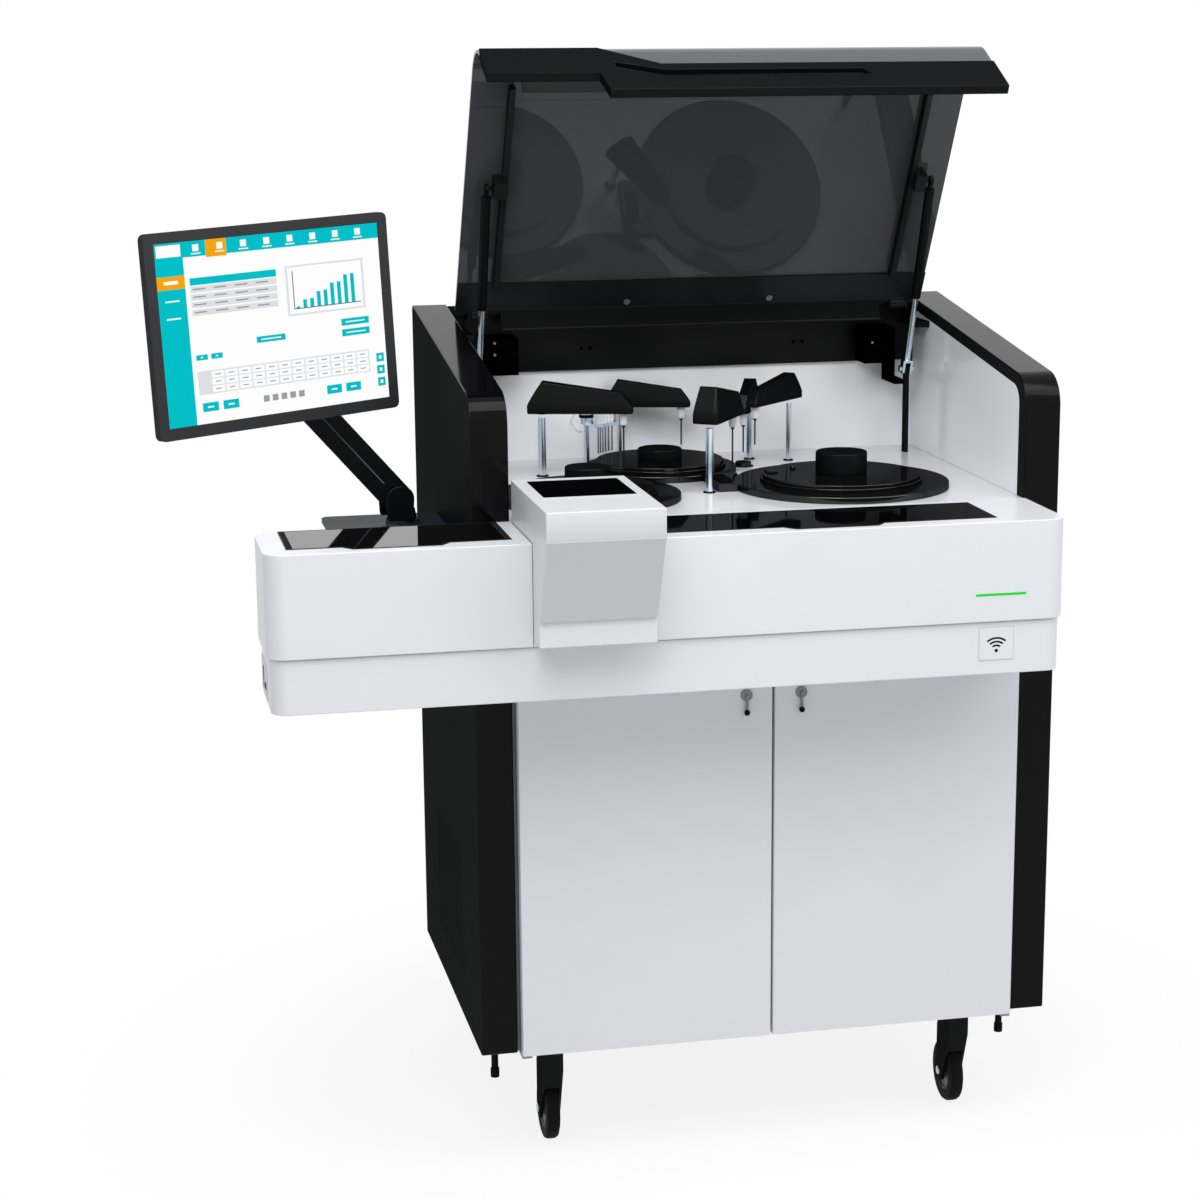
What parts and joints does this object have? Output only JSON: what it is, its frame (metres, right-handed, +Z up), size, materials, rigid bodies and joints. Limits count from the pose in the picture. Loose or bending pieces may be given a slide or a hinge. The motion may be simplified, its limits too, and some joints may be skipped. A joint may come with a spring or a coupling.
{
  "type": "biochemistry analyzer",
  "caption": "Free-standing biochemistry analyzer: two-door cabinet on casters, deck with carousels and dosing arms, long front module, open smoked lid on struts, monitor on a jointed arm",
  "frame": {"origin": "on the floor under the centre of the overall bounding box, at rest with the lid open", "axes": "+X to the right seen from the doors, +Y from the doors to the back, +Z up"},
  "size_m": [1.3622, 0.868, 1.6738],
  "materials": {
    "gloss_black": "polished black moulding",
    "black_enamel": "satin black enamel",
    "white_plastic": "satin white moulding",
    "grey_enamel": "light grey powder coat",
    "chrome": "polished chrome",
    "smoked_acrylic": "smoked clear acrylic sheet",
    "display": "backlit display panel",
    "frame_steel": "grey primed sheet steel",
    "wheel_rubber": "black rubber tread",
    "foot_steel": "black steel stud",
    "rotor_plastic": "dark grey moulding"
  },
  "bodies": {
    "cabinet": {"base_frame": "frame_steel", "left_side_panel": "black_enamel", "right_side_panel": "black_enamel", "work_deck": "white_plastic", "rear_channel": "black_enamel", "front_cover": "white_plastic", "front_apron": "white_plastic", "transfer_housing": "white_plastic", "reagent_carousel_rim": "gloss_black", "sample_carousel_rim": "gloss_black", "reaction_carousel_rim": "gloss_black", "reaction_carousel_cover": "gloss_black", "monitor_shelf": "frame_steel"},
    "left_door": {"left_door": "grey_enamel"},
    "right_door": {"right_door": "grey_enamel"},
    "left_latch": {"left_latch": "chrome"},
    "right_latch": {"right_latch": "chrome"},
    "left_bay_lid": {"left_bay_lid": "gloss_black"},
    "right_bay_lid": {"right_bay_lid": "gloss_black"},
    "lid": {"lid_shell": "smoked_acrylic", "lid_front_rail": "black_enamel", "lid_frame": "black_enamel"},
    "left_strut_rod": {"left_strut_rod": "chrome"},
    "left_strut_cylinder": {"left_strut_cylinder": "black_enamel"},
    "right_strut_rod": {"right_strut_rod": "chrome"},
    "right_strut_cylinder": {"right_strut_cylinder": "black_enamel"},
    "reagent_carousel_cover": {"reagent_carousel_cover": "gloss_black"},
    "sample_carousel_cover": {"sample_carousel_cover": "gloss_black"},
    "reagent_carousel_rotor": {"reagent_carousel_rotor": "rotor_plastic"},
    "sample_carousel_rotor": {"sample_carousel_rotor": "rotor_plastic"},
    "reaction_carousel_rotor": {"reaction_carousel_rotor": "rotor_plastic"},
    "sample_arm_column": {"sample_arm_column": "chrome"},
    "sample_arm_head": {"sample_arm_head": "gloss_black"},
    "wash_arm_column": {"wash_arm_column": "chrome"},
    "wash_arm_head": {"wash_arm_head": "gloss_black"},
    "reagent_arm_column": {"reagent_arm_column": "chrome"},
    "reagent_arm_head": {"reagent_arm_head": "gloss_black"},
    "first_stirrer_column": {"first_stirrer_column": "chrome"},
    "first_stirrer_head": {"first_stirrer_head": "gloss_black"},
    "second_stirrer_column": {"second_stirrer_column": "chrome"},
    "second_stirrer_head": {"second_stirrer_head": "gloss_black"},
    "cuvette_washer": {"cuvette_washer": "chrome"},
    "arm_turret": {"arm_turret": "black_enamel"},
    "arm_link": {"arm_link": "black_enamel"},
    "level_head": {"level_head": "black_enamel"},
    "pan_yoke": {"pan_yoke": "black_enamel"},
    "monitor": {"monitor_housing": "gloss_black", "monitor_screen": "display"},
    "front_left_caster_fork": {"front_left_caster_fork": "black_enamel"},
    "front_left_caster_wheel": {"front_left_caster_wheel": "wheel_rubber"},
    "front_left_levelling_foot": {"front_left_levelling_foot": "foot_steel"},
    "front_right_caster_fork": {"front_right_caster_fork": "black_enamel"},
    "front_right_caster_wheel": {"front_right_caster_wheel": "wheel_rubber"},
    "front_right_levelling_foot": {"front_right_levelling_foot": "foot_steel"},
    "rear_left_caster_fork": {"rear_left_caster_fork": "black_enamel"},
    "rear_left_caster_wheel": {"rear_left_caster_wheel": "wheel_rubber"},
    "rear_left_levelling_foot": {"rear_left_levelling_foot": "foot_steel"},
    "rear_right_caster_fork": {"rear_right_caster_fork": "black_enamel"},
    "rear_right_caster_wheel": {"rear_right_caster_wheel": "wheel_rubber"},
    "rear_right_levelling_foot": {"rear_right_levelling_foot": "foot_steel"}
  },
  "joints": [
    {"name": "left_door_hinge", "type": "hinge", "parent": "cabinet", "child": "left_door", "pos_m": [-0.1509, -0.161, 0.477], "axis": [0, 0, -1], "range_deg": [0, 110]},
    {"name": "right_door_hinge", "type": "hinge", "parent": "cabinet", "child": "right_door", "pos_m": [0.61311, -0.161, 0.477], "axis": [0, 0, 1], "range_deg": [0, 110]},
    {"name": "left_latch_turn", "type": "hinge", "parent": "left_door", "child": "left_latch", "pos_m": [0.1886, -0.161, 0.7288], "axis": [0, 1, 0], "range_deg": [0, 90]},
    {"name": "right_latch_turn", "type": "hinge", "parent": "right_door", "child": "right_latch", "pos_m": [0.2736, -0.161, 0.7288], "axis": [0, -1, 0], "range_deg": [0, 90]},
    {"name": "left_bay_lid_hinge", "type": "hinge", "parent": "cabinet", "child": "left_bay_lid", "pos_m": [-0.3404, -0.154, 1.0061], "axis": [-1, 0, 0], "range_deg": [0, 75]},
    {"name": "right_bay_lid_hinge", "type": "hinge", "parent": "cabinet", "child": "right_bay_lid", "pos_m": [0.28436, -0.168, 1.0061], "axis": [-1, 0, 0], "range_deg": [0, 75]},
    {"name": "lid_hinge", "type": "hinge", "parent": "cabinet", "child": "lid", "pos_m": [0.23111, 0.351, 1.25029], "axis": [-1, 0, 0], "range_deg": [-67, 0]},
    {"name": "left_strut_swing", "type": "hinge", "parent": "cabinet", "child": "left_strut_rod", "pos_m": [-0.1289, 0.318, 1.14599], "axis": [-1, 0, 0], "range_deg": [-57.11, 0]},
    {"name": "left_strut_stroke", "type": "slide", "parent": "left_strut_rod", "child": "left_strut_cylinder", "axis": [0, -0.329, 0.9443], "range_m": [-0.1109, 0]},
    {"name": "right_strut_swing", "type": "hinge", "parent": "cabinet", "child": "right_strut_rod", "pos_m": [0.5911, 0.318, 1.14599], "axis": [-1, 0, 0], "range_deg": [-57.11, 0]},
    {"name": "right_strut_stroke", "type": "slide", "parent": "right_strut_rod", "child": "right_strut_cylinder", "axis": [0, -0.329, 0.9443], "range_m": [-0.1109, 0]},
    {"name": "reagent_cover_lift", "type": "slide", "parent": "cabinet", "child": "reagent_carousel_cover", "axis": [0, 0, 1], "range_m": [0, 0.07]},
    {"name": "sample_cover_lift", "type": "slide", "parent": "cabinet", "child": "sample_carousel_cover", "axis": [0, 0, 1], "range_m": [0, 0.07]},
    {"name": "reagent_rotor_turn", "type": "hinge", "parent": "cabinet", "child": "reagent_carousel_rotor", "pos_m": [0.3901, 0.0215, 0.985], "axis": [0, 0, 1], "continuous": true},
    {"name": "sample_rotor_turn", "type": "hinge", "parent": "cabinet", "child": "sample_carousel_rotor", "pos_m": [-0.0169, 0.002, 0.985], "axis": [0, 0, 1], "continuous": true},
    {"name": "reaction_rotor_turn", "type": "hinge", "parent": "cabinet", "child": "reaction_carousel_rotor", "pos_m": [0.1486, 0.229, 0.985], "axis": [0, 0, 1], "continuous": true},
    {"name": "sample_arm_lift", "type": "slide", "parent": "cabinet", "child": "sample_arm_column", "axis": [0, 0, 1], "range_m": [0, 0.035]},
    {"name": "sample_arm_swing", "type": "hinge", "parent": "sample_arm_column", "child": "sample_arm_head", "pos_m": [-0.0439, 0.225, 1.1075], "axis": [0, 0, 1], "range_deg": [-70, 12]},
    {"name": "wash_arm_lift", "type": "slide", "parent": "cabinet", "child": "wash_arm_column", "axis": [0, 0, 1], "range_m": [0, 0.025]},
    {"name": "wash_arm_swing", "type": "hinge", "parent": "wash_arm_column", "child": "wash_arm_head", "pos_m": [0.1131, 0.37, 1.0925], "axis": [0, 0, 1], "range_deg": [-10, 20]},
    {"name": "reagent_arm_lift", "type": "slide", "parent": "cabinet", "child": "reagent_arm_column", "axis": [0, 0, 1], "range_m": [0, 0.035]},
    {"name": "reagent_arm_swing", "type": "hinge", "parent": "reagent_arm_column", "child": "reagent_arm_head", "pos_m": [0.17711, 0.012, 1.1135], "axis": [0, 0, 1], "range_deg": [-60, 12]},
    {"name": "first_stirrer_lift", "type": "slide", "parent": "cabinet", "child": "first_stirrer_column", "axis": [0, 0, 1], "range_m": [0, 0.035]},
    {"name": "first_stirrer_swing", "type": "hinge", "parent": "first_stirrer_column", "child": "first_stirrer_head", "pos_m": [0.31911, 0.31, 1.0925], "axis": [0, 0, 1], "range_deg": [-12, 4]},
    {"name": "second_stirrer_lift", "type": "slide", "parent": "cabinet", "child": "second_stirrer_column", "axis": [0, 0, 1], "range_m": [0, 0.035]},
    {"name": "second_stirrer_swing", "type": "hinge", "parent": "second_stirrer_column", "child": "second_stirrer_head", "pos_m": [0.37811, 0.282, 1.1085], "axis": [0, 0, 1], "range_deg": [-6, 20]},
    {"name": "cuvette_washer_lift", "type": "slide", "parent": "cabinet", "child": "cuvette_washer", "axis": [0, 0, 1], "range_m": [0, 0.035]},
    {"name": "turret_swivel", "type": "hinge", "parent": "cabinet", "child": "arm_turret", "pos_m": [-0.2839, 0.115, 0.989], "axis": [0, 0, 1], "range_deg": [-40, 6]},
    {"name": "arm_link_raise", "type": "hinge", "parent": "arm_turret", "child": "arm_link", "pos_m": [-0.2839, 0.115, 1.029], "axis": [-0.0818, 0.9967, 0], "range_deg": [-5, 10]},
    {"name": "head_level", "type": "hinge", "parent": "arm_link", "child": "level_head", "pos_m": [-0.53488, 0.09441, 1.28073], "axis": [-0.0818, 0.9967, 0], "range_deg": [-10.5, 5.5]},
    {"name": "monitor_pan", "type": "hinge", "parent": "level_head", "child": "pan_yoke", "pos_m": [-0.51143, 0.04916, 1.28255], "axis": [0, 0, 1], "range_deg": [-30, 0]},
    {"name": "monitor_tilt", "type": "hinge", "parent": "pan_yoke", "child": "monitor", "pos_m": [-0.50131, 0.02964, 1.28334], "axis": [-0.8869, -0.461, -0.0314], "range_deg": [0, 20]},
    {"name": "front_left_caster_swivel", "type": "hinge", "parent": "cabinet", "child": "front_left_caster_fork", "pos_m": [-0.09889, -0.078, 0.17], "axis": [0, 0, 1], "continuous": true},
    {"name": "front_left_wheel_spin", "type": "hinge", "parent": "front_left_caster_fork", "child": "front_left_caster_wheel", "pos_m": [-0.09889, -0.05, 0.05], "axis": [1, 0, 0], "continuous": true},
    {"name": "front_left_foot_screw", "type": "slide", "parent": "cabinet", "child": "front_left_levelling_foot", "axis": [0, 0, -1], "range_m": [0, 0.108]},
    {"name": "front_right_caster_swivel", "type": "hinge", "parent": "cabinet", "child": "front_right_caster_fork", "pos_m": [0.5611, -0.078, 0.17], "axis": [0, 0, 1], "continuous": true},
    {"name": "front_right_wheel_spin", "type": "hinge", "parent": "front_right_caster_fork", "child": "front_right_caster_wheel", "pos_m": [0.5611, -0.05, 0.05], "axis": [1, 0, 0], "continuous": true},
    {"name": "front_right_foot_screw", "type": "slide", "parent": "cabinet", "child": "front_right_levelling_foot", "axis": [0, 0, -1], "range_m": [0, 0.108]},
    {"name": "rear_left_caster_swivel", "type": "hinge", "parent": "cabinet", "child": "rear_left_caster_fork", "pos_m": [-0.09889, 0.352, 0.17], "axis": [0, 0, 1], "continuous": true},
    {"name": "rear_left_wheel_spin", "type": "hinge", "parent": "rear_left_caster_fork", "child": "rear_left_caster_wheel", "pos_m": [-0.09889, 0.38, 0.05], "axis": [1, 0, 0], "continuous": true},
    {"name": "rear_left_foot_screw", "type": "slide", "parent": "cabinet", "child": "rear_left_levelling_foot", "axis": [0, 0, -1], "range_m": [0, 0.108]},
    {"name": "rear_right_caster_swivel", "type": "hinge", "parent": "cabinet", "child": "rear_right_caster_fork", "pos_m": [0.5611, 0.352, 0.17], "axis": [0, 0, 1], "continuous": true},
    {"name": "rear_right_wheel_spin", "type": "hinge", "parent": "rear_right_caster_fork", "child": "rear_right_caster_wheel", "pos_m": [0.5611, 0.38, 0.05], "axis": [1, 0, 0], "continuous": true},
    {"name": "rear_right_foot_screw", "type": "slide", "parent": "cabinet", "child": "rear_right_levelling_foot", "axis": [0, 0, -1], "range_m": [0, 0.108]}
  ],
  "couplings": [
    {"joint": "left_strut_swing", "follows": "lid_hinge", "ratio": 0.8434},
    {"joint": "left_strut_stroke", "follows": "lid_hinge", "m_per_rad": 0.094},
    {"joint": "right_strut_swing", "follows": "lid_hinge", "ratio": 0.8434},
    {"joint": "right_strut_stroke", "follows": "lid_hinge", "m_per_rad": 0.094},
    {"joint": "head_level", "follows": "arm_link_raise", "ratio": -1}
  ]
}
